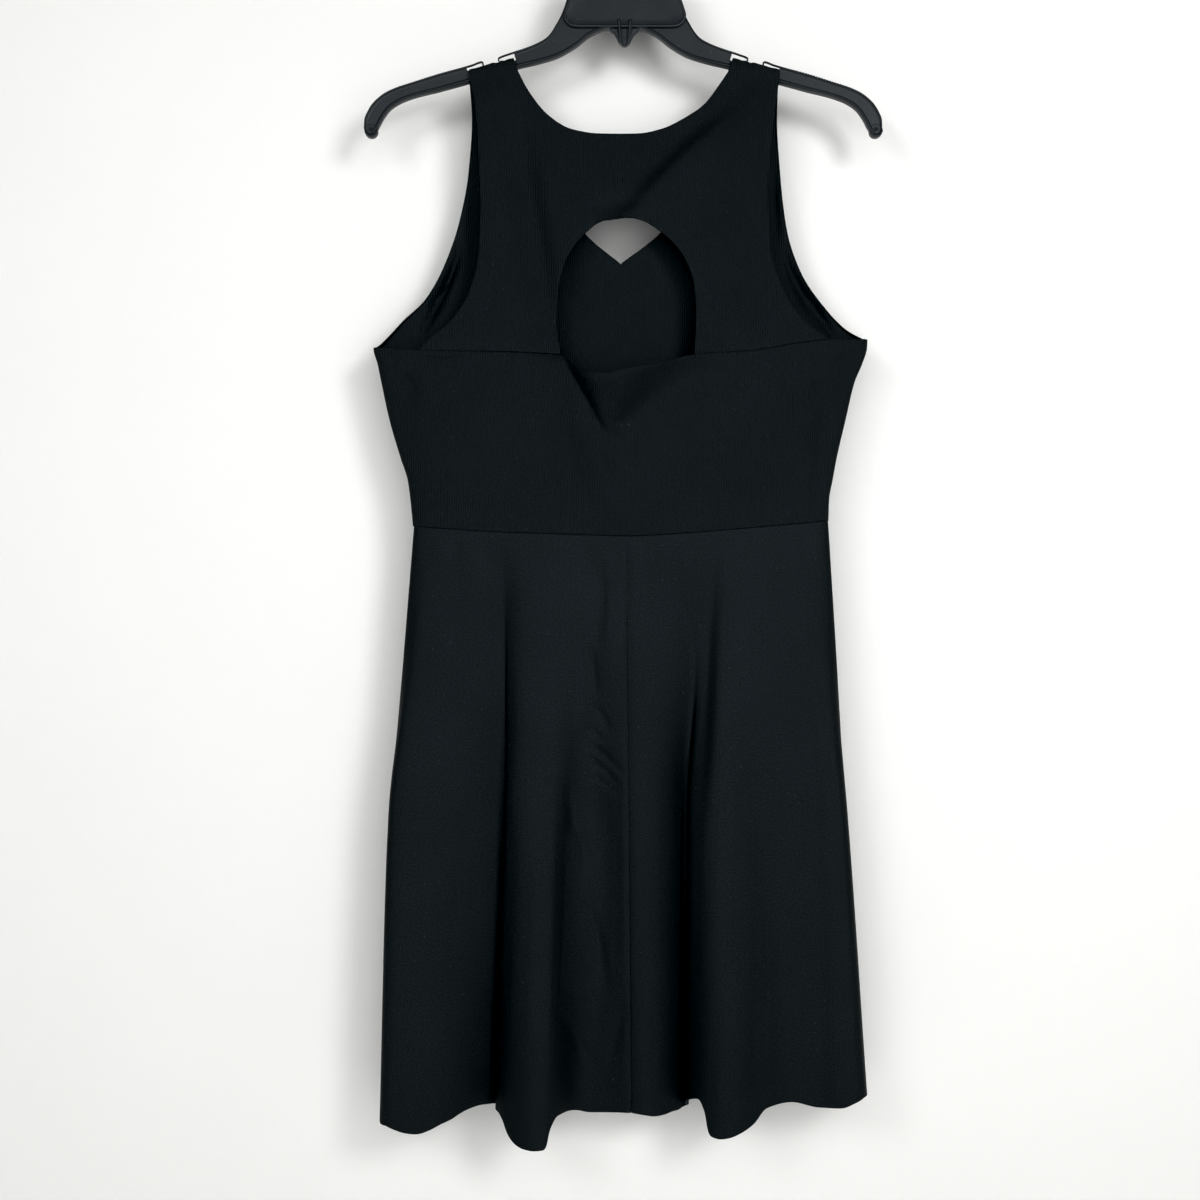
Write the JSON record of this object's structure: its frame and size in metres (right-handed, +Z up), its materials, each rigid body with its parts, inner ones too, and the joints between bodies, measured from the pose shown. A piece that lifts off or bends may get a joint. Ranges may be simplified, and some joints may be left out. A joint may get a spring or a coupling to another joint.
{
  "type": "athletic dress on a hanger",
  "caption": "Sleeveless knee-length athletic dress with a keyhole back and a flared skirt, hanging on a moulded plastic hanger with a wire hook.",
  "frame": {"origin": "inner crown of the hook, on its middle plane, where a rail carries it", "axes": "+Z up, +X to the right as one looks at the back of the dress, -Y out of the back of the dress"},
  "size_m": [0.4294, 0.0959, 1.0457],
  "materials": {
    "bodice_knit": "matte, finely ribbed knit",
    "skirt_knit": "smooth jersey with a slight sheen",
    "hanger_plastic": "satin moulded plastic",
    "hook_wire": "bright plated wire"
  },
  "bodies": {
    "root": {"back_yoke": "bodice_knit", "back_midriff": "bodice_knit", "front_bodice": "bodice_knit", "skirt_back_left": "skirt_knit", "skirt_back_right": "skirt_knit", "skirt_front": "skirt_knit", "hanger_body": "hanger_plastic", "hanger_hook": "hook_wire"}
  },
  "joints": []
}
